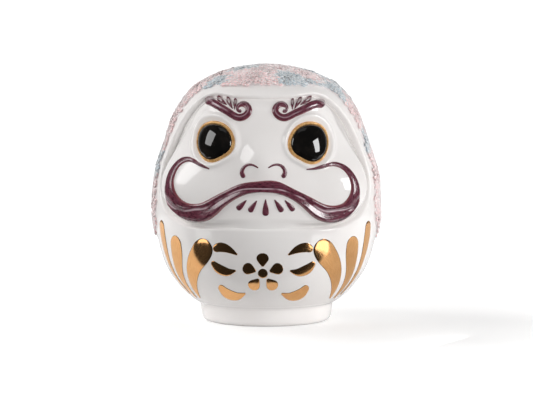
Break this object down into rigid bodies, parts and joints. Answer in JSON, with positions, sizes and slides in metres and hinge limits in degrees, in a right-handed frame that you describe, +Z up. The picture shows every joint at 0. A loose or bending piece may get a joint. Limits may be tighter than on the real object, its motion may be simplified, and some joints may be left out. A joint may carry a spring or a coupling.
{
  "type": "daruma doll",
  "caption": "Round-bodied porcelain daruma doll on a foot ring, with a scowling framed face, curling moustache, flowered mantle and gilded belly.",
  "frame": {"origin": "centre of the foot ring's underside, where the doll stands", "axes": "+Z up, -Y out of the face, +X to the right as seen from the front"},
  "size_m": [0.1422, 0.1436, 0.1594],
  "materials": {
    "white_glaze": "glossy white glaze",
    "flower_biscuit": "matte painted flower relief, dusty pink and blue grey",
    "black_glaze": "wet-looking black glaze",
    "rim_gold": "ochre gold lustre",
    "plum_glaze": "glossy plum enamel with brush streaks",
    "gilding": "fired polished gold"
  },
  "bodies": {
    "root": {"body_shell": "white_glaze", "face_mask": "white_glaze", "foot_ring": "white_glaze", "base_plate": "white_glaze", "mantle": "flower_biscuit", "eye_left": "black_glaze", "eye_right": "black_glaze", "eye_rim_left": "rim_gold", "eye_rim_right": "rim_gold", "moustache": "plum_glaze", "brow_left": "plum_glaze", "brow_right": "plum_glaze", "brow_curl_left_1": "plum_glaze", "brow_curl_left_2": "plum_glaze", "brow_curl_left_3": "plum_glaze", "brow_curl_right_1": "plum_glaze", "brow_curl_right_2": "plum_glaze", "brow_curl_right_3": "plum_glaze", "nostril_left": "plum_glaze", "nostril_right": "plum_glaze", "chin_drop_1": "plum_glaze", "chin_drop_2": "plum_glaze", "chin_drop_3": "plum_glaze", "chin_drop_4": "plum_glaze", "chin_drop_5": "plum_glaze", "petal_left_1": "gilding", "petal_left_2": "gilding", "petal_left_3": "gilding", "petal_right_1": "gilding", "petal_right_2": "gilding", "petal_right_3": "gilding", "leaf_left_1": "gilding", "leaf_left_2": "gilding", "leaf_left_3": "gilding", "leaf_right_1": "gilding", "leaf_right_2": "gilding", "leaf_right_3": "gilding", "crest_petal_1": "gilding", "crest_petal_2": "gilding", "crest_petal_3": "gilding", "crest_petal_4": "gilding", "crest_petal_5": "gilding", "crest_centre": "gilding"}
  },
  "joints": []
}
